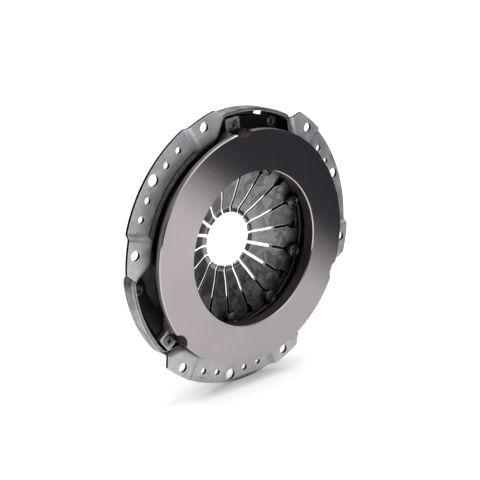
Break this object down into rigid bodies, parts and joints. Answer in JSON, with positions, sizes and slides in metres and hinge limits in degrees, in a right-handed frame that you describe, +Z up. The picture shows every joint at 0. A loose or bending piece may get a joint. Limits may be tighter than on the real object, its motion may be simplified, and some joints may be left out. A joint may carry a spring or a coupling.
{
  "type": "clutch pressure plate",
  "caption": "Clutch cover assembly: a pressed steel cover with a diaphragm spring that presses a ground cast iron friction ring, held by leaf straps.",
  "frame": {"origin": "centre of the bolt circle, on the seating face of the bolting pads", "axes": "-Y points at the flywheel along the turning axis, +Y at the release bearing and +Z up as pictured"},
  "size_m": [0.267, 0.0427, 0.262],
  "materials": {
    "cover_steel": "oiled pressed steel, satin",
    "cast_iron": "ground on the friction face, cast elsewhere",
    "spring_steel": "shot blasted and oil blackened",
    "wire": "tempered wire",
    "strap_steel": "blackened spring strip",
    "rivet_steel": "blackened rivet steel"
  },
  "bodies": {
    "cover": {"cover": "cover_steel", "diaphragm_spring": "spring_steel", "front_wire_ring": "wire", "rear_wire_ring": "wire", "spacer_rivet_1": "rivet_steel", "spacer_rivet_2": "rivet_steel", "spacer_rivet_3": "rivet_steel", "spacer_rivet_4": "rivet_steel", "spacer_rivet_5": "rivet_steel", "spacer_rivet_6": "rivet_steel", "spacer_rivet_7": "rivet_steel", "spacer_rivet_8": "rivet_steel", "spacer_rivet_9": "rivet_steel", "strap_1_leaf_1": "strap_steel", "strap_1_leaf_2": "strap_steel", "strap_1_leaf_3": "strap_steel", "strap_2_leaf_1": "strap_steel", "strap_2_leaf_2": "strap_steel", "strap_2_leaf_3": "strap_steel", "strap_3_leaf_1": "strap_steel", "strap_3_leaf_2": "strap_steel", "strap_3_leaf_3": "strap_steel", "cover_rivet_1": "rivet_steel", "cover_rivet_2": "rivet_steel", "cover_rivet_3": "rivet_steel"},
    "pressure_plate": {"pressure_plate": "cast_iron", "lug_rivet_1": "rivet_steel", "lug_rivet_2": "rivet_steel", "lug_rivet_3": "rivet_steel"}
  },
  "joints": [
    {"name": "plate_travel", "type": "slide", "parent": "cover", "child": "pressure_plate", "axis": [0, 1, 0], "range_m": [0, 0.0045], "stiffness_N_per_m": 20000, "springref_m": -0.0005, "deforming": ["diaphragm_spring", "strap_1_leaf_1", "strap_1_leaf_2", "strap_1_leaf_3", "strap_2_leaf_1", "strap_2_leaf_2", "strap_2_leaf_3", "strap_3_leaf_1", "strap_3_leaf_2", "strap_3_leaf_3"]}
  ]
}
